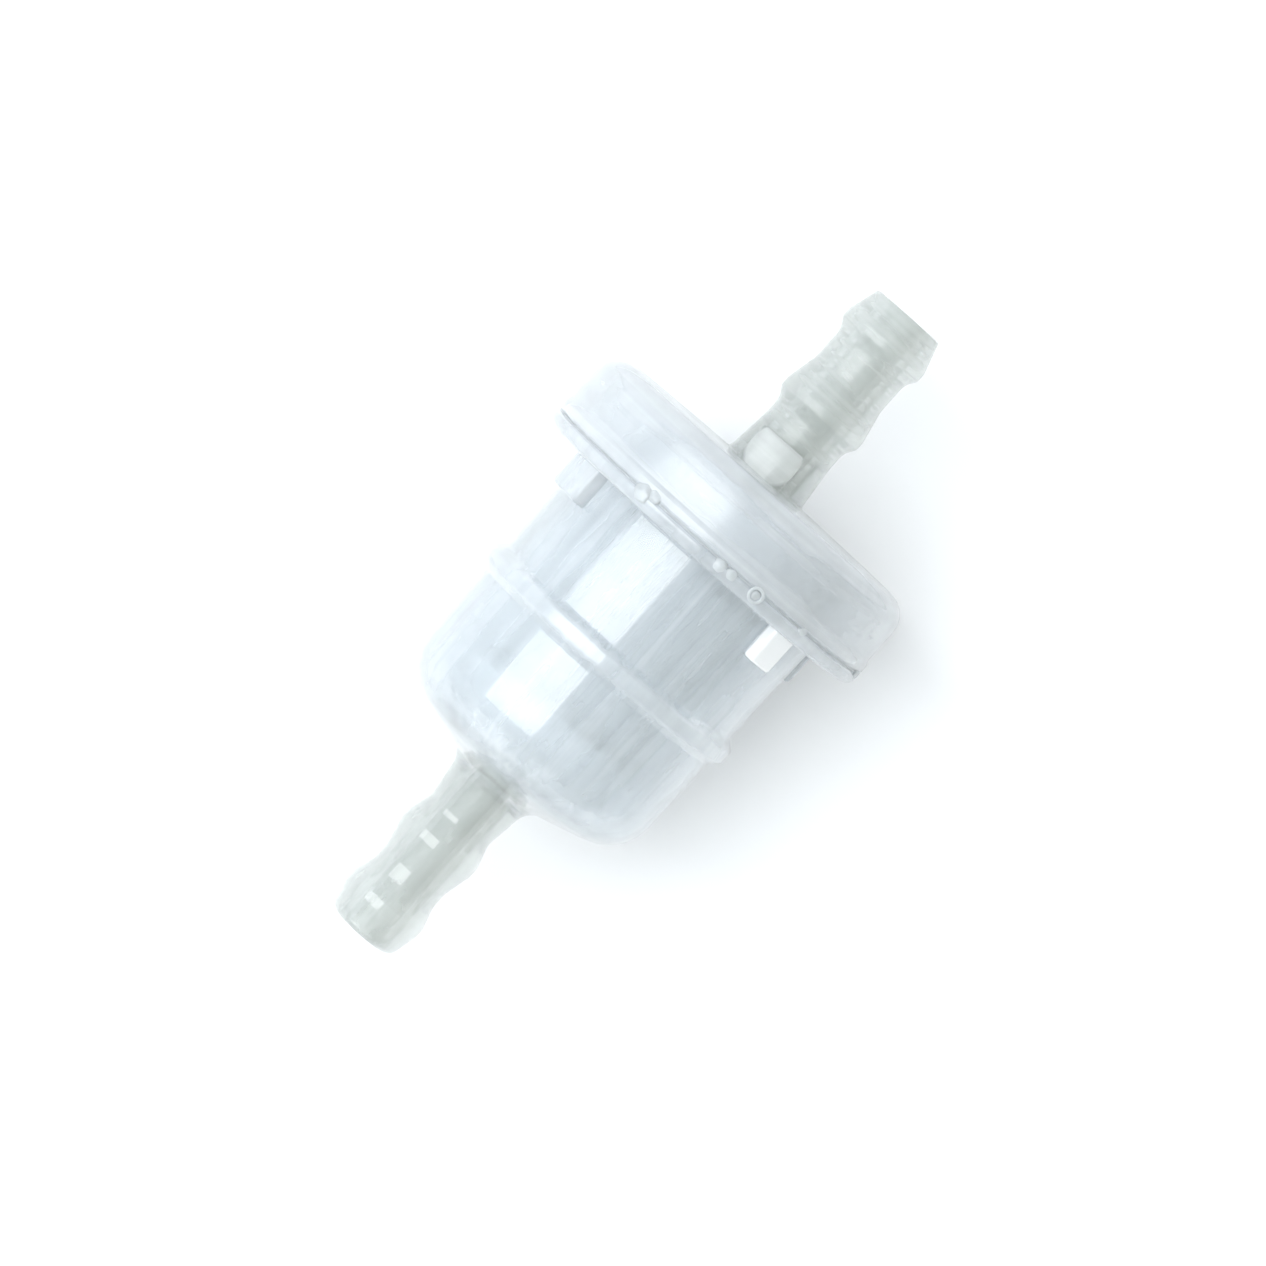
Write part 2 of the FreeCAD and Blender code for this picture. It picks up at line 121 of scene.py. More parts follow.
def turning_tree():
    """Geometry Nodes that round the corners of an outline and turn it about the X axis."""
    tree = bpy.data.node_groups.new("turn about the flow axis", "GeometryNodeTree")
    socket_named(tree, "Outline", "NodeSocketGeometry")
    socket_named(tree, "Steps round", "NodeSocketInt")
    socket_named(tree, "Steps in a rounding", "NodeSocketInt")
    socket_named(tree, "Longest step", "NodeSocketFloat")
    socket_named(tree, "Path radius", "NodeSocketFloat")
    socket_named(tree, "Material", "NodeSocketMaterial")
    socket_named(tree, "Turned", "NodeSocketGeometry", "OUTPUT")
    node = tree.nodes.new
    link = tree.links.new
    inputs = node("NodeGroupInput").outputs
    corner_radius = node("GeometryNodeInputRadius")
    fillet = node("GeometryNodeFilletCurve")
    fillet.mode = "POLY"
    link(inputs["Outline"], fillet.inputs["Curve"])
    link(inputs["Steps in a rounding"], fillet.inputs["Count"])
    link(corner_radius.outputs["Radius"], fillet.inputs["Radius"])
    # each straight stretch is cut into steps short enough for the shading to follow it
    here = node("GeometryNodeInputPosition")
    step_on = node("GeometryNodeOffsetPointInCurve")
    step_on.inputs["Offset"].default_value = 1
    there = node("GeometryNodeFieldAtIndex")
    there.data_type = "FLOAT_VECTOR"
    link(here.outputs["Position"], there.inputs["Value"])
    link(step_on.outputs["Point Index"], there.inputs["Index"])
    apart = node("ShaderNodeVectorMath")
    apart.operation = "DISTANCE"
    link(here.outputs["Position"], apart.inputs[0])
    link(there.outputs["Value"], apart.inputs[1])
    share = node("ShaderNodeMath")
    share.operation = "DIVIDE"
    link(apart.outputs["Value"], share.inputs[0])
    link(inputs["Longest step"], share.inputs[1])
    whole = node("ShaderNodeMath")
    whole.operation = "FLOOR"
    link(share.outputs["Value"], whole.inputs[0])
    divide = node("GeometryNodeSubdivideCurve")
    link(fillet.outputs["Curve"], divide.inputs["Curve"])
    link(whole.outputs["Value"], divide.inputs["Cuts"])
    # the path is a circle, so the outline is laid out from it: radius across, x along
    where = node("GeometryNodeInputPosition")
    parts = node("ShaderNodeSeparateXYZ")
    link(where.outputs["Position"], parts.inputs["Vector"])
    out = node("ShaderNodeMath")
    out.operation = "SUBTRACT"
    link(parts.outputs["Y"], out.inputs[0])
    link(inputs["Path radius"], out.inputs[1])
    laid_out = node("ShaderNodeCombineXYZ")
    link(out.outputs["Value"], laid_out.inputs["X"])
    link(parts.outputs["X"], laid_out.inputs["Y"])
    lay = node("GeometryNodeSetPosition")
    link(divide.outputs["Curve"], lay.inputs["Geometry"])
    link(laid_out.outputs["Vector"], lay.inputs["Position"])
    path = node("GeometryNodeCurvePrimitiveCircle")
    link(inputs["Steps round"], path.inputs["Resolution"])
    link(inputs["Path radius"], path.inputs["Radius"])
    sweep = node("GeometryNodeCurveToMesh")
    link(path.outputs["Curve"], sweep.inputs["Curve"])
    link(lay.outputs["Geometry"], sweep.inputs["Profile Curve"])
    tip_over = node("GeometryNodeTransform")
    tip_over.inputs["Rotation"].default_value = (0, -math.pi / 2, 0)
    link(sweep.outputs["Mesh"], tip_over.inputs["Geometry"])
    real = node("GeometryNodeRealizeInstances")
    link(tip_over.outputs["Geometry"], real.inputs["Geometry"])
    finish = node("GeometryNodeSetMaterial")
    link(real.outputs["Geometry"], finish.inputs["Geometry"])
    link(inputs["Material"], finish.inputs["Material"])
    link(finish.outputs["Geometry"], node("NodeGroupOutput").inputs["Turned"])
    return tree


def set_inputs(modifier, **values):
    """Sets a Geometry Nodes modifier's inputs, named here with _ for a space."""
    for item in modifier.node_group.interface.items_tree:
        key = item.name.replace(" ", "_").lower()
        if item.in_out == "INPUT" and key in values:
            modifier[item.identifier] = values[key]


def plain_mesh(maker, name):
    """What an object's modifiers make, as a plain mesh object; the maker is removed."""
    bpy.context.view_layer.update()
    evaluated = maker.evaluated_get(bpy.context.evaluated_depsgraph_get())
    mesh = bpy.data.meshes.new_from_object(evaluated)
    mesh.name = name
    bpy.data.objects.remove(maker)
    piece = bpy.data.objects.new(name, mesh)
    bpy.context.collection.objects.link(piece)
    return piece


def face_outwards(piece, crease=math.radians(32)):
    """Merges doubles, points the faces outwards and shades all but sharp edges smooth."""
    shape = bmesh.new()
    shape.from_mesh(piece.data)
    bmesh.ops.remove_doubles(shape, verts=shape.verts, dist=0.0005 * MM)
    bmesh.ops.recalc_face_normals(shape, faces=shape.faces)
    shape.to_mesh(piece.data)
    shape.free()
    piece.data.shade_smooth()
    piece.data.set_sharp_from_angle(angle=crease)


TURNING = turning_tree()


def turned(name, outline, material, steps_round=STEPS_ROUND):
    """A closed outline of corners (x, radius, rounding), turned into a solid ring."""
    curve = bpy.data.curves.new(name + " outline", "CURVE")
    curve.dimensions = "3D"
    spline = curve.splines.new("POLY")
    spline.points.add(len(outline) - 1)
    for point, corner in zip(spline.points, outline):
        point.co = (corner[0], corner[1], 0, 1)
        point.radius = corner[2] if len(corner) == 3 else 0
    spline.use_cyclic_u = True
    maker = bpy.data.objects.new(name + " maker", curve)
    bpy.context.collection.objects.link(maker)
    turning = maker.modifiers.new("turning", "NODES")
    turning.node_group = TURNING
    set_inputs(
        turning,
        steps_round=steps_round,
        steps_in_a_rounding=STEPS_IN_A_ROUNDING,
        longest_step=LONGEST_STEP,
        path_radius=20 * MM,
        material=material,
    )
    piece = plain_mesh(maker, name)
    face_outwards(piece)
    return piece


def new_material(name):
    """A material and its Principled shader."""
    material = bpy.data.materials.new(name)
    material.use_nodes = True
    return material, material.node_tree.nodes["Principled BSDF"]


def noise(material, scale, detail=2.0, vector=None):
    """Noise on Object coordinates; scale is features per metre."""
    tree = material.node_tree
    texture = tree.nodes.new("ShaderNodeTexNoise")
    texture.inputs["Scale"].default_value = scale
    texture.inputs["Detail"].default_value = detail
    if vector is None:
        vector = tree.nodes.new("ShaderNodeTexCoord").outputs["Object"]
    tree.links.new(vector, texture.inputs["Vector"])
    return texture.outputs["Fac"]


def ranged(material, value, low, high, from_low=0.3, from_high=0.7):
    """The value's range stretched to low..high."""
    node = material.node_tree.nodes.new("ShaderNodeMapRange")
    node.inputs["From Min"].default_value = from_low
    node.inputs["From Max"].default_value = from_high
    node.inputs["To Min"].default_value = low
    node.inputs["To Max"].default_value = high
    material.node_tree.links.new(value, node.inputs["Value"])
    return node.outputs["Result"]


def mixed(material, factor, low, high):
    """A colour between two, by a factor of 0 to 1."""
    node = material.node_tree.nodes.new("ShaderNodeMix")
    node.data_type = "RGBA"
    for socket, colour in (("A", low), ("B", high)):
        if isinstance(colour, tuple):
            node.inputs[socket].default_value = (*colour, 1)
        else:
            material.node_tree.links.new(colour, node.inputs[socket])
    material.node_tree.links.new(factor, node.inputs["Factor"])
    return node.outputs["Result"]


def sum_of(material, operation, first, second):
    """Two values, or a value and a number, put together by a Math operation."""
    node = material.node_tree.nodes.new("ShaderNodeMath")
    node.operation = operation
    for socket, value in zip(node.inputs, (first, second)):
        if isinstance(value, (int, float)):
            socket.default_value = value
        else:
            material.node_tree.links.new(value, socket)
    return node.outputs["Value"]


def distance_from_axis(material):
    """How far a point lies from the flow axis."""
    tree = material.node_tree
    place = tree.nodes.new("ShaderNodeTexCoord").outputs["Object"]
    flatten = tree.nodes.new("ShaderNodeVectorMath")
    flatten.operation = "MULTIPLY"
    flatten.inputs[1].default_value = (0, 1, 1)
    length = tree.nodes.new("ShaderNodeVectorMath")
    length.operation = "LENGTH"
    tree.links.new(place, flatten.inputs[0])
    tree.links.new(flatten.outputs["Vector"], length.inputs[0])
    return length.outputs["Value"]


def flow_lines(material, along, across):
    """Noise drawn out along the flow axis, as the melt leaves it; features per metre."""
    tree = material.node_tree
    stretch = tree.nodes.new("ShaderNodeMapping")
    stretch.inputs["Scale"].default_value = (along, across, across)
    tree.links.new(tree.nodes.new("ShaderNodeTexCoord").outputs["Object"], stretch.inputs["Vector"])
    return noise(material, 1.0, 3, stretch.outputs["Vector"])


def near(material, place, reach, fade):
    """1 within reach of a place, falling to 0 over the fade beyond it."""
    tree = material.node_tree
    apart = tree.nodes.new("ShaderNodeVectorMath")
    apart.operation = "DISTANCE"
    apart.inputs[1].default_value = place
    tree.links.new(tree.nodes.new("ShaderNodeTexCoord").outputs["Object"], apart.inputs[0])
    return ranged(material, apart.outputs["Value"], 1, 0, reach, reach + fade)


def moulded_nylon(
    name, wall, thick, thick_beyond, clearness, blur, skin, lines, show_through,
    painted_highlight_at=(0, 0, 1), highlight_beyond=1.0, highlight_strength=0.0,
):
    """Moulded nylon: its wall, its thick parts and its spigot differ.

    skin is the weight and roughness of its gloss and the depth of its waves, lines how often
    its flow lines repeat along and across the axis, and the last three place a painted highlight:
    the middle of a lug, how far out from the axis it starts, and how strong it is.
    """
    material, shader = new_material(name)
    tree = material.node_tree
    from_axis = distance_from_axis(material)
    thickness = ranged(material, from_axis, 0, 1, thick_beyond, thick_beyond + 0.35 * MM)
    on_spigot = ranged(material, from_axis, 1, 0, 4.5 * MM, 7.5 * MM)
    streaks = ranged(material, flow_lines(material, *lines), 0, 1, 0.38, 0.62)
    lined = mixed(material, streaks, wall, tuple(part * 0.92 for part in wall))
    body_colour = mixed(material, thickness, lined, thick)
    coloured = mixed(material, on_spigot, body_colour, SPIGOT_TINT)
    # painted highlight: round one lug's middle the colour is whitened, standing in for the bright reflection on that
    # lug's face
    highlight_mask = sum_of(
        material, "MULTIPLY", near(material, painted_highlight_at, 2.1 * MM, 0.3 * MM),
        ranged(material, from_axis, 0, 1, highlight_beyond, highlight_beyond + 0.2 * MM),
    )
    milky = sum_of(material, "MULTIPLY", highlight_mask, highlight_strength)
    highlighted = mixed(material, milky, coloured, (0.98, 0.99, 0.99))
    tree.links.new(highlighted, shader.inputs["Base Color"])
    clear = ranged(material, noise(material, 160, 4), clearness[1], clearness[0])
    # the streaks cloud the wall by 0.22, and the thick ring, flange and lugs by only 0.06
    streakiness = ranged(material, thickness, 0.22, 0.06, 0, 1)
    less = sum_of(
        material, "ADD", sum_of(material, "MULTIPLY", thickness, 0.15),
        sum_of(material, "MULTIPLY", streaks, streakiness),
    )
    # the painted highlight also takes clearness away from that lug patch
    milkier = sum_of(material, "MULTIPLY", milky, 0.7)
    clear = sum_of(material, "SUBTRACT", sum_of(material, "SUBTRACT", clear, less), milkier)
    tree.links.new(sum_of(material, "MAXIMUM", clear, 0), shader.inputs["Transmission Weight"])
    tree.links.new(ranged(material, noise(material, 420, 3), *blur), shader.inputs["Roughness"])
    shader.inputs["Alpha"].default_value = 1 - show_through
    shader.inputs["IOR"].default_value = 1.45
    shader.inputs["Coat Weight"].default_value = skin[0]
    shader.inputs["Coat Roughness"].default_value = skin[1]
    shader.inputs["Coat IOR"].default_value = 1.5
    waves = tree.nodes.new("ShaderNodeBump")
    waves.inputs["Strength"].default_value = 1.0
    waves.inputs["Distance"].default_value = skin[2]
    tree.links.new(flow_lines(material, *lines), waves.inputs["Height"])
    grain = tree.nodes.new("ShaderNodeBump")
    grain.inputs["Strength"].default_value = 0.4
    grain.inputs["Distance"].default_value = skin[2] / 60
    tree.links.new(noise(material, 2600, 2), grain.inputs["Height"])
    tree.links.new(waves.outputs["Normal"], grain.inputs["Normal"])
    tree.links.new(grain.outputs["Normal"], shader.inputs["Normal"])
    tree.links.new(waves.outputs["Normal"], shader.inputs["Coat Normal"])
    return material


def lug(name, angle, width, heights, reach, root, edge_round):
    """A lug block on the turned wall: its outer face follows the wall, its edges are rounded."""
    across = 6
    block = bmesh.new()
    bmesh.ops.create_cube(block, size=1)
    sharp = [e for e in block.edges if sum(v.co.z > 0 for v in e.verts) == 2]
    uprights = [e for e in block.edges if e.verts[0].co.z * e.verts[1].co.z < 0]
    x_low, x_high = min(heights), max(heights)
    free_low = heights[0] < heights[1]
    for vert in block.verts:
        vert.co.x = x_high if vert.co.x > 0 else x_low
        vert.co.y *= width
        vert.co.z = reach if vert.co.z > 0 else root
    bmesh.ops.bevel(
        block, geom=sharp + uprights, offset=edge_round, segments=3, profile=0.5, affect="EDGES"
    )
    for step in range(1, across):
        y = (step / across - 0.5) * width
        geometry = block.verts[:] + block.edges[:] + block.faces[:]
        bmesh.ops.bisect_plane(block, geom=geometry, plane_co=(0, y, 0), plane_no=(0, 1, 0))
    for vert in block.verts:
        turn = angle + vert.co.y / reach
        vert.co = (vert.co.x, -vert.co.z * math.sin(turn), vert.co.z * math.cos(turn))
    mesh = bpy.data.meshes.new(name)
    bmesh.ops.recalc_face_normals(block, faces=block.faces)
    block.to_mesh(mesh)
    block.free()
    piece = bpy.data.objects.new(name, mesh)
    bpy.context.collection.objects.link(piece)
    return piece


def joined(piece, extras):
    """The piece and its extras as one closed moulding."""
    name = piece.name
    material = piece.data.materials[0]
    piece.name = name + " maker"
    for extra in extras:
        union = piece.modifiers.new(extra.name, "BOOLEAN")
        union.operation = "UNION"
        union.solver = "EXACT"
        union.object = extra
    whole = plain_mesh(piece, name)
    for extra in extras:
        bpy.data.objects.remove(extra)
    whole.data.materials.clear()
    whole.data.materials.append(material)
    for face in whole.data.polygons:
        face.material_index = 0
    face_outwards(whole)
    return whole


SPIGOT_TINT = (0.66, 0.69, 0.662)
narrow_lug = math.radians(LUGS[0][0])
CUP_NYLON = moulded_nylon(
    "clear cup nylon", (0.885, 0.937, 0.972), (0.91, 0.95, 0.978), 11.35 * MM,
    (0.86, 0.70), (0.13, 0.23), (1.0, 0.06, 0.045 * MM), (22, 560), 0.2,
    # the narrow lug carries a painted highlight: its place, how far out it starts, its strength
    (JOINT - 2.7 * MM, -12.3 * MM * math.sin(narrow_lug), 12.3 * MM * math.cos(narrow_lug)),
    11.3 * MM, 1.0,
)
INLET = in_metres(
    port=1.6, tip=2.88, tip_round=0.9, crest=3.45, root=2.92, foot=3.42,
    nose=2.42, land=0.8, step=1.75, waist=1.35, ramp=2.3, neck=0.4,
)
flange_foot = JOINT - FLANGE_THICKNESS
ring_wall = (CUP_MOUTH + CUP_FOOT) / 2
ring_high = RING_MIDDLE + RING_CREST / 2
ring_low = RING_MIDDLE - RING_CREST / 2
port_mouth = CUP_BASE + CUP_WALL
cup = turned("cup_shell", [
    (COLLAR_TOP, COLLAR_INNER, 0.2 * MM),
    (COLLAR_TOP, COLLAR_OUTER, 0.2 * MM),
    (JOINT, COLLAR_OUTER),
    (JOINT, FLANGE_RADIUS - JOINT_CHAMFER),
    (JOINT - JOINT_CHAMFER, FLANGE_RADIUS, 0.1 * MM),
    (flange_foot, FLANGE_RADIUS, 0.85 * MM),
    (flange_foot, CUP_MOUTH, 0.3 * MM),
    (ring_high + RING_FLANK, ring_wall, RING_ROUND),
    (ring_high, RING_RADIUS, RING_ROUND),
    (ring_low, RING_RADIUS, RING_ROUND),
    (ring_low - RING_FLANK, ring_wall, RING_ROUND),
    (CUP_SHOULDER, CUP_FOOT, CUP_CORNER),
    *reversed(spigot_outline(INLET_TIP, 1, INLET, CUP_BASE, 1.6 * MM)),
    (INLET_TIP, INLET["port"] + PORT_FLARE, 0.12 * MM),
    (INLET_TIP + PORT_FLARE, INLET["port"]),
    (port_mouth - PORT_FLARE, INLET["port"]),
    (port_mouth, INLET["port"] + PORT_FLARE),
    (CUP_SHOULDER + CUP_WALL, CUP_FOOT - CUP_WALL, CUP_CORNER - CUP_WALL),
    (JOINT, CUP_MOUTH - CUP_WALL, 0.15 * MM),
    (JOINT, COLLAR_INNER),
], CUP_NYLON)
cup = joined(cup, [
    lug(
        f"cup lug {number}", math.radians(angle), width,
        (flange_foot - LUG_HEIGHT, flange_foot + FLANGE_THICKNESS / 2),
        LUG_TOP, CUP_MOUTH - CUP_WALL / 2, 0.3 * MM,
    )
    for number, (angle, width) in enumerate(LUGS, start=1)
])
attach(cup, "root")
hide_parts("cup")

# ---- Strainer cage -----------------------------------------------------------------------
# The carrier of the gauze, in natural nylon that is whiter and duller than the shells. Its
# rimmed flange lies on the cup's ledge and the cap's inner ring holds it down.
CAGE_NYLON = moulded_nylon(
    "natural cage nylon", (0.93, 0.95, 0.95), (0.95, 0.97, 0.97), 11.0 * MM,
    (0.8, 0.7), (0.3, 0.42), (0.3, 0.2, 0.004 * MM), (60, 500), 0.62,
)
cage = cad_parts["strainer_cage"]
cage.data.materials.clear()
cage.data.materials.append(CAGE_NYLON)

# ---- Gauze -------------------------------------------------------------------------------
# Fine plain-woven nylon gauze: a sleeve held in the cage's slots and a disc over its foot.
# Each is a warp and a weft of round strands that pass over and under one another.
PITCH = 0.42 * MM
STRAND = 0.045 * MM
CRIMP = 0.045 * MM
SLEEVE_RADIUS = 6.6 * MM
DISC_RADIUS = 6.15 * MM


def weaving_tree():
    """Geometry Nodes for a flat plain weave; it is wrapped round X, or trimmed to a disc."""
    tree = bpy.data.node_groups.new("plain weave", "GeometryNodeTree")
    for name, kind in (
        ("Strands", "Geometry"), ("Pitch", "Float"), ("Crimp", "Float"), ("Strand radius", "Float"),
        ("Wrap radius", "Float"), ("Start", "Float"), ("Trim radius", "Float"),
        ("Material", "Material"),
    ):
        socket_named(tree, name, "NodeSocket" + kind)
    socket_named(tree, "Woven", "NodeSocketGeometry", "OUTPUT")
    node = tree.nodes.new
    link = tree.links.new
    inputs = node("NodeGroupInput").outputs

    def math_node(operation, first, second=None):
        made = node("ShaderNodeMath")
        made.operation = operation
        for socket, value in zip(made.inputs, (first, second)):
            if isinstance(value, (int, float)):
                socket.default_value = value
            elif value is not None:
                link(value, socket)
        return made.outputs["Value"]

    place = node("GeometryNodeInputPosition")
    split = node("ShaderNodeSeparateXYZ")
    link(place.outputs["Position"], split.inputs["Vector"])
    side, run = split.outputs["X"], split.outputs["Y"]
    # a strand's tilt tells its family: none for the warp, half a turn for the weft
    tilt = node("GeometryNodeInputCurveTilt")
    family = math_node("COSINE", tilt.outputs["Tilt"])
    rise = math_node("MULTIPLY", inputs["Crimp"], family)
    for distance in (side, run):
        turns = math_node("MULTIPLY", math_node("DIVIDE", distance, inputs["Pitch"]), math.pi)
        rise = math_node("MULTIPLY", rise, math_node("COSINE", turns))
    angle = math_node("DIVIDE", side, inputs["Wrap radius"])
    radius = math_node("ADD", inputs["Wrap radius"], rise)
    wrapped = node("ShaderNodeCombineXYZ")
    link(math_node("ADD", run, inputs["Start"]), wrapped.inputs["X"])
    link(math_node("MULTIPLY", radius, math_node("SINE", angle)), wrapped.inputs["Y"])
    link(math_node("MULTIPLY", radius, math_node("COSINE", angle)), wrapped.inputs["Z"])
    flat = node("ShaderNodeCombineXYZ")
    link(math_node("ADD", rise, inputs["Start"]), flat.inputs["X"])
    link(side, flat.inputs["Y"])
    link(run, flat.inputs["Z"])
    is_disc = node("FunctionNodeCompare")
    is_disc.data_type = "FLOAT"
    is_disc.operation = "GREATER_THAN"
    link(inputs["Trim radius"], is_disc.inputs["A"])
    shape = node("GeometryNodeSwitch")
    shape.input_type = "VECTOR"
    link(is_disc.outputs["Result"], shape.inputs["Switch"])
    link(wrapped.outputs["Vector"], shape.inputs["False"])
    link(flat.outputs["Vector"], shape.inputs["True"])
    # a disc keeps the points within its radius, measured on the flat weave
    far = math_node(
        "SQRT",
        math_node("ADD", math_node("MULTIPLY", side, side), math_node("MULTIPLY", run, run)),
    )
    outside = node("FunctionNodeCompare")
    outside.data_type = "FLOAT"
    outside.operation = "GREATER_THAN"
    link(far, outside.inputs["A"])
    link(inputs["Trim radius"], outside.inputs["B"])
    cut = node("FunctionNodeBooleanMath")
    cut.operation = "AND"
    link(outside.outputs["Result"], cut.inputs[0])
    link(is_disc.outputs["Result"], cut.inputs[1])
    trim = node("GeometryNodeDeleteGeometry")
    trim.domain = "POINT"
    link(inputs["Strands"], trim.inputs["Geometry"])
    link(cut.outputs["Boolean"], trim.inputs["Selection"])
    lay = node("GeometryNodeSetPosition")
    link(trim.outputs["Geometry"], lay.inputs["Geometry"])
    link(shape.outputs["Output"], lay.inputs["Position"])
    section = node("GeometryNodeCurvePrimitiveCircle")
    section.inputs["Resolution"].default_value = 4
    link(inputs["Strand radius"], section.inputs["Radius"])
    sweep = node("GeometryNodeCurveToMesh")
    sweep.inputs["Fill Caps"].default_value = True
    link(lay.outputs["Geometry"], sweep.inputs["Curve"])
    link(section.outputs["Curve"], sweep.inputs["Profile Curve"])
    real = node("GeometryNodeRealizeInstances")
    link(sweep.outputs["Mesh"], real.inputs["Geometry"])
    finish = node("GeometryNodeSetMaterial")
    link(real.outputs["Geometry"], finish.inputs["Geometry"])
    link(inputs["Material"], finish.inputs["Material"])
    link(finish.outputs["Geometry"], node("NodeGroupOutput").inputs["Woven"])
    return tree


def woven(name, width, length, centred, material, start, wrap_radius, trim_radius):
    """A plain-woven piece of gauze, width round the axis or across it, length along."""
    strands = bpy.data.curves.new(name + " strands", "CURVE")
    strands.dimensions = "3D"
    left = -width / 2
    bottom = -length / 2 if centred else 0
    ends, picks = round(width / PITCH), round(length / PITCH)
    for count, long, is_warp in ((ends, picks, True), (picks, ends, False)):
        for number in range(count + (0 if is_warp and not centred else 1)):
            spline = strands.splines.new("POLY")
            spline.points.add(2 * long)
            for step, point in enumerate(spline.points):
                over, on = number * PITCH, step * PITCH / 2
                u, v = (over, on) if is_warp else (on, over)
                point.co = (left + u, bottom + v, 0, 1)
                point.tilt = 0 if is_warp else math.pi
    maker = bpy.data.objects.new(name + " maker", strands)
    bpy.context.collection.objects.link(maker)
    weaving = maker.modifiers.new("weaving", "NODES")
    weaving.node_group = WEAVING
    set_inputs(
        weaving, pitch=PITCH, crimp=CRIMP, strand_radius=STRAND, wrap_radius=wrap_radius,
        start=start, trim_radius=trim_radius, material=material,
    )
    piece = plain_mesh(maker, name)
    face_outwards(piece, math.radians(80))
    return piece


WEAVING = weaving_tree()
GAUZE_NYLON, shader = new_material("gauze nylon")
tint = mixed(GAUZE_NYLON, ranged(GAUZE_NYLON, noise(GAUZE_NYLON, 900, 2), 0, 1), (0.9, 0.93, 0.93), (0.97, 0.98, 0.98))
GAUZE_NYLON.node_tree.links.new(tint, shader.inputs["Base Color"])
shader.inputs["Transmission Weight"].default_value = 0.5
shader.inputs["Alpha"].default_value = 0.5
shader.inputs["Roughness"].default_value = 0.35
sleeve_low, sleeve_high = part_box("side_gauze")
# the weave closes on itself, so the strands round the axis are a whole even number
sleeve_round = 2 * round(math.pi * SLEEVE_RADIUS / PITCH) * PITCH
side_gauze = woven(
    "woven_sleeve", sleeve_round, sleeve_high.x - sleeve_low.x - 2 * STRAND, False, GAUZE_NYLON,
    sleeve_low.x + STRAND, sleeve_round / math.tau, 0,
)
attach(side_gauze, "root")
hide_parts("side_gauze")
disc_low, disc_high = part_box("end_gauze")
end_gauze = woven(
    "woven_disc", 2 * DISC_RADIUS, 2 * DISC_RADIUS, True, GAUZE_NYLON,
    (disc_low.x + disc_high.x) / 2, SLEEVE_RADIUS, DISC_RADIUS,
)
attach(end_gauze, "root")
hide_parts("end_gauze")

# ---- Cap ---------------------------------------------------------------------------------
# The outlet half: a shallow cap in milkier nylon with a satin skin, a barbed spigot with a
# lug at each side of its foot, a beaded edge and a ring inside that holds the strainer.
OUTLET = in_metres(
    port=1.7, tip=3.02, tip_round=0.2, crest=3.75, root=3.2, foot=3.58,
    nose=2.48, land=0.7, step=0.85, waist=2.7, ramp=2.6, neck=1.5,
)
CEMENT_GAP = 0.12 * MM
CAP_TOP = 14.82 * MM
CAP_FLAT = 5.8 * MM
CAP_CROWN = 0.25 * MM
CAP_RADIUS = 14.92 * MM
CAP_CORNER = 2.0 * MM
CAP_WALL = 1.5 * MM
CAP_BEAD = FLANGE_RADIUS
BEAD_HEIGHT = 0.75 * MM
CAP_LUG_HEIGHT = 3.12 * MM
CAP_LUG_WIDTH = 4.7 * MM
CAP_LUG_REACH = 4.45 * MM
CAP_LUG_ANGLES = (-4.5, 175.5)
HOLDDOWN_OUTER = 11.6 * MM
HOLDDOWN_INNER = 10.5 * MM
STRAINER_RIM = 2.14 * MM
CAP_NYLON = moulded_nylon(
    "milky cap nylon", (0.945, 0.975, 0.995), (0.965, 0.985, 0.995), 14.95 * MM,
    (0.80, 0.64), (0.15, 0.25), (0.5, 0.24, 0.05 * MM), (600, 22), 0.2,
    # a spigot lug carries a weaker painted highlight: its place, how far out it starts, its strength
    (CAP_TOP + 1.8 * MM, 0.3 * MM, 4.3 * MM), 3.75 * MM, 0.4,
)
skirt_foot = JOINT + CEMENT_GAP
skirt_bore = COLLAR_OUTER + CEMENT_GAP
bead_top = skirt_foot + BEAD_HEIGHT
ceiling = CAP_TOP - CAP_WALL
holddown_foot = JOINT + STRAINER_RIM
cap = turned("cap_shell", [
    *spigot_outline(OUTLET_TIP, -1, OUTLET, CAP_TOP, 0.4 * MM),
    (CAP_TOP, CAP_FLAT),
    (CAP_TOP - CAP_CROWN, CAP_RADIUS, CAP_CORNER),
    (bead_top + BEAD_HEIGHT / 2, CAP_RADIUS, 0.2 * MM),
    (bead_top, CAP_BEAD, 0.2 * MM),
    (skirt_foot + JOINT_CHAMFER, CAP_BEAD, 0.1 * MM),
    (skirt_foot, CAP_BEAD - JOINT_CHAMFER),
    (skirt_foot, skirt_bore),
    (ceiling, skirt_bore, 0.25 * MM),
    (ceiling, HOLDDOWN_OUTER, 0.2 * MM),
    (holddown_foot, HOLDDOWN_OUTER, 0.1 * MM),
    (holddown_foot, HOLDDOWN_INNER, 0.1 * MM),
    (ceiling, HOLDDOWN_INNER, 0.2 * MM),
    (ceiling, OUTLET["port"] + PORT_FLARE),
    (ceiling + PORT_FLARE, OUTLET["port"]),
    (OUTLET_TIP - PORT_FLARE, OUTLET["port"]),
    (OUTLET_TIP, OUTLET["port"] + PORT_FLARE, 0.12 * MM),
], CAP_NYLON)
cap = joined(cap, [
    lug(
        f"cap lug {number}", math.radians(angle), CAP_LUG_WIDTH,
        (CAP_TOP + CAP_LUG_HEIGHT, CAP_TOP - CAP_WALL / 2),
        CAP_LUG_REACH, (OUTLET["port"] + OUTLET["root"]) / 2, 0.35 * MM,
    )
    for number, angle in enumerate(CAP_LUG_ANGLES, start=1)
])
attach(cap, "root")
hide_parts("cap")

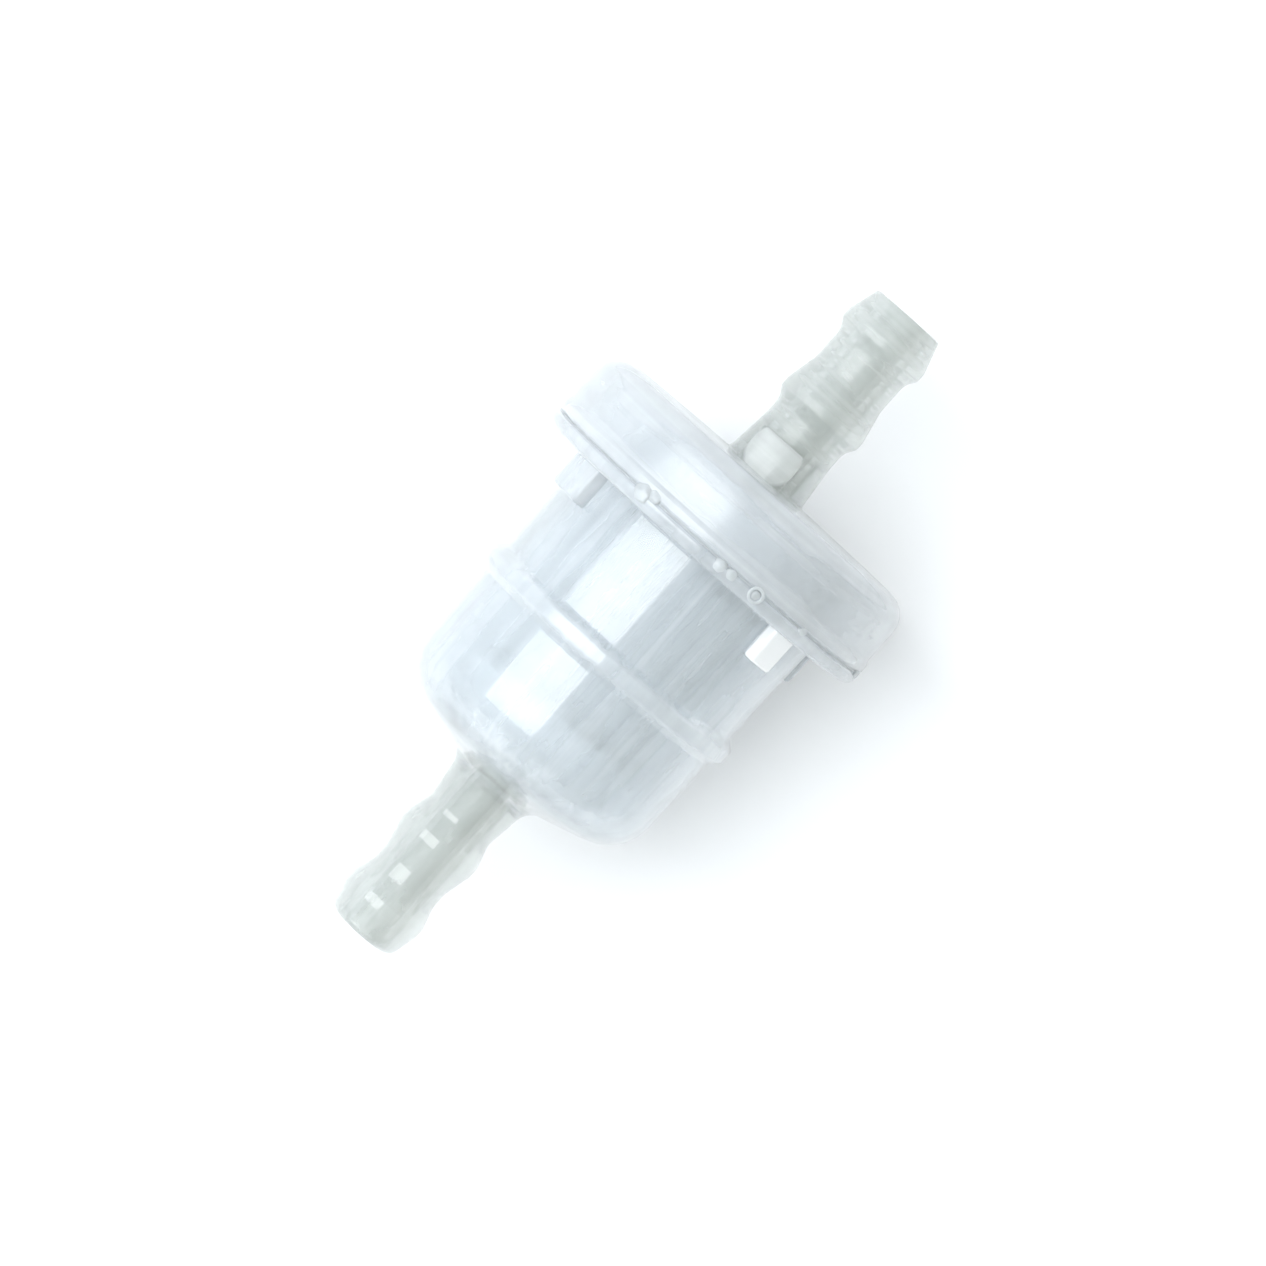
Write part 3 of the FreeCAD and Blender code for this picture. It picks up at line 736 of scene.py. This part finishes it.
# ---- Cement ------------------------------------------------------------------------------
# The clear solvent cement of the joint: a film over the collar and flange, and the drops that
# were squeezed out of it before it set. It is wavy and glassy, with one brown stain of fuel.
CEMENT, shader = new_material("clear cement")
ragged = sum_of(
    CEMENT, "MULTIPLY", near(CEMENT, (JOINT, -15.0 * MM, -1.0 * MM), 1.0 * MM, 1.0 * MM),
    ranged(CEMENT, noise(CEMENT, 1500, 3), 0, 1, 0.35, 0.5),
)
CEMENT.node_tree.links.new(
    mixed(CEMENT, ragged, (0.92, 0.95, 0.96), (0.5, 0.36, 0.27)), shader.inputs["Base Color"]
)
shader.inputs["Transmission Weight"].default_value = 0.6
shader.inputs["Roughness"].default_value = 0.08
shader.inputs["IOR"].default_value = 1.5
runs = CEMENT.node_tree.nodes.new("ShaderNodeBump")
runs.inputs["Strength"].default_value = 1.0
runs.inputs["Distance"].default_value = 0.06 * MM
CEMENT.node_tree.links.new(noise(CEMENT, 900, 3), runs.inputs["Height"])
CEMENT.node_tree.links.new(runs.outputs["Normal"], shader.inputs["Normal"])
# each drop: its angle round the axis, its offset towards the outlet, and its radius
DROPS = (
    (-18.5, -0.15, 0.70), (-15.0, 0.20, 0.50), (11.5, -0.35, 0.52), (15.5, -0.30, 0.44),
    (24.7, -0.25, 0.40), (44.0, -0.10, 0.38), (85.0, -0.10, 0.50), (137.0, -0.20, 0.45),
    (178.0, -0.10, 0.62), (236.0, -0.25, 0.42),
)
BUBBLE = (24.7, -0.25, 0.55)
CLEAR_OF_SHELLS = 0.012 * MM
film_middle = JOINT + CEMENT_GAP / 2
bead_radius = FLANGE_RADIUS - 0.16 * MM


def cement_drop(name, angle, offset, radius):
    """A squashed, lumpy drop that set on the edge of the joint."""
    blob = bmesh.new()
    bmesh.ops.create_icosphere(blob, subdivisions=4, radius=radius * MM)
    turn = Matrix.Rotation(math.radians(angle), 3, "X")
    for vert in blob.verts:
        lumps = noise_at(vert.co / (0.45 * MM) + Vector((angle, 0, 0)))
        lumpy = vert.co * (1 + 0.22 * lumps)
        squashed = Vector((lumpy.x, lumpy.y * 1.15, lumpy.z * 0.55))
        vert.co = turn @ (squashed + Vector((film_middle + offset * MM, 0, bead_radius)))
    mesh = bpy.data.meshes.new(name)
    blob.to_mesh(mesh)
    blob.free()
    drop = bpy.data.objects.new(name, mesh)
    bpy.context.collection.objects.link(drop)
    return drop


bead = turned("cement_bead", [
    (JOINT + CLEAR_OF_SHELLS, COLLAR_OUTER + 0.05 * MM),
    (JOINT + CLEAR_OF_SHELLS, bead_radius, 0.03 * MM),
    (skirt_foot - CLEAR_OF_SHELLS, bead_radius, 0.03 * MM),
    (skirt_foot - CLEAR_OF_SHELLS, COLLAR_OUTER + 0.05 * MM),
], CEMENT)
bead = joined(bead, [
    cement_drop(f"cement drop {number}", *drop) for number, drop in enumerate(DROPS, start=1)
])
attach(bead, "root")
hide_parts("joint_cement")
# the largest drop burst as it set and left a ring standing
rim = BUBBLE[2] * MM
bubble = turned("cement_bubble", [
    (0.13 * MM, rim - 0.13 * MM, 0.09 * MM), (0.13 * MM, rim + 0.13 * MM, 0.09 * MM),
    (-0.13 * MM, rim + 0.13 * MM, 0.09 * MM), (-0.13 * MM, rim - 0.13 * MM, 0.09 * MM),
], CEMENT, 48)
bubble.data.transform(
    Matrix.Rotation(math.radians(BUBBLE[0]), 4, "X")
    @ Matrix.Translation((film_middle + BUBBLE[1] * MM, 0, bead_radius + 0.14 * MM))
    @ Matrix.Rotation(math.radians(90), 4, "Y")
)
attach(bubble, "root")

# ---- Floor, lights and camera ------------------------------------------------------------
# A white table top just under the filter, a large cool window light at its upper left, a
# weaker warm fill at its right, and a long-lens camera that looks down on the table.
floor_mesh = bpy.data.meshes.new("table_top")
FLOOR_HALF = 1.5
floor_z = cad_box[0].z - 0.3 * MM
floor_mesh.from_pydata(
    [(x, y, floor_z) for x, y in ((-1, -1), (1, -1), (1, 1), (-1, 1))], [], [(0, 1, 2, 3)]
)
floor_mesh.transform(Matrix.Diagonal((FLOOR_HALF, FLOOR_HALF, 1, 1)))
floor = bpy.data.objects.new("table_top", floor_mesh)
bpy.context.collection.objects.link(floor)
floor_paint, shader = new_material("white table top")
shader.inputs["Base Color"].default_value = (0.965, 0.965, 0.965, 1)
shader.inputs["Roughness"].default_value = 0.8
shader.inputs["Specular IOR Level"].default_value = 0.2
floor_mesh.materials.append(floor_paint)

# the room is cooler and brighter overhead and on the window's side, +Y, and dull on the other
world = bpy.data.worlds.new("studio")
world.use_nodes = True
room = world.node_tree
heading = room.nodes.new("ShaderNodeSeparateXYZ")
room.links.new(room.nodes.new("ShaderNodeTexCoord").outputs["Generated"], heading.inputs["Vector"])
to_window = room.nodes.new("ShaderNodeMapRange")
to_window.inputs["From Min"].default_value = -0.9
to_window.inputs["From Max"].default_value = 0.6
sky_share = room.nodes.new("ShaderNodeMath")
sky_share.operation = "MULTIPLY_ADD"
sky_share.inputs[1].default_value = 0.5
room.links.new(heading.outputs["Z"], sky_share.inputs[0])
room.links.new(heading.outputs["Y"], sky_share.inputs[2])
room.links.new(sky_share.outputs["Value"], to_window.inputs["Value"])
room_light = room.nodes.new("ShaderNodeMix")
room_light.data_type = "RGBA"
room_light.inputs["A"].default_value = (0.44, 0.43, 0.37, 1)
room_light.inputs["B"].default_value = (0.91, 0.97, 1.03, 1)
room.links.new(to_window.outputs["Result"], room_light.inputs["Factor"])
room.links.new(room_light.outputs["Result"], room.nodes["Background"].inputs["Color"])
room.nodes["Background"].inputs["Strength"].default_value = 1.17
bpy.context.scene.world = world
bpy.context.scene.view_settings.view_transform = "Standard"

AXIS_SLOPE = math.radians(48.25)
LEAN_TO_OUTLET = math.radians(3.1)
LEAN_TO_RIGHT = math.radians(4.5)
CAMERA_DISTANCE = 0.43
FRAME_WIDTH = 95.2 * MM
towards = Matrix.Rotation(LEAN_TO_RIGHT, 3, "X") @ Vector(
    (math.sin(LEAN_TO_OUTLET), 0, math.cos(LEAN_TO_OUTLET))
)
along = (Vector((1, 0, 0)) - towards * towards.x).normalized()
across = towards.cross(along)
right = math.cos(AXIS_SLOPE) * along - math.sin(AXIS_SLOPE) * across
up = math.sin(AXIS_SLOPE) * along + math.cos(AXIS_SLOPE) * across
camera = bpy.data.objects.new("camera", bpy.data.cameras.new("camera"))
bpy.context.collection.objects.link(camera)
camera.data.sensor_width = 36
camera.data.lens = 36 * CAMERA_DISTANCE / FRAME_WIDTH
camera.data.clip_start = 0.01
place = Matrix((right, up, towards)).transposed().to_4x4()
place.translation = towards * CAMERA_DISTANCE - right * 0.11 * MM - up * 0.68 * MM + along * 0.12 * MM
camera.matrix_world = place
bpy.context.scene.camera = camera


def soft_light(name, direction, distance, width, length, power, colour):
    """A rectangular light whose length runs along the filter, aimed at it."""
    lamp = bpy.data.lights.new(name, "AREA")
    lamp.shape = "RECTANGLE"
    lamp.size = length
    lamp.size_y = width
    lamp.energy = power
    lamp.color = colour
    light = bpy.data.objects.new(name, lamp)
    bpy.context.collection.objects.link(light)
    back = Vector(direction).normalized()
    side = (Vector((1, 0, 0)) - back * back.x).normalized()
    spot = Matrix((side, back.cross(side), back)).transposed().to_4x4()
    spot.translation = back * distance
    light.matrix_world = spot
    return light


WINDOW_TILT = math.radians(22)
soft_light(
    "window", (0.0, math.sin(WINDOW_TILT), math.cos(WINDOW_TILT)), 0.6, 0.565, 0.3, 1.9,
    (0.97, 0.99, 1.0),
)
soft_light("low window", (-0.85, 0.32, 0.42), 0.6, 0.3, 0.5, 0.4, (0.97, 0.99, 1.0))
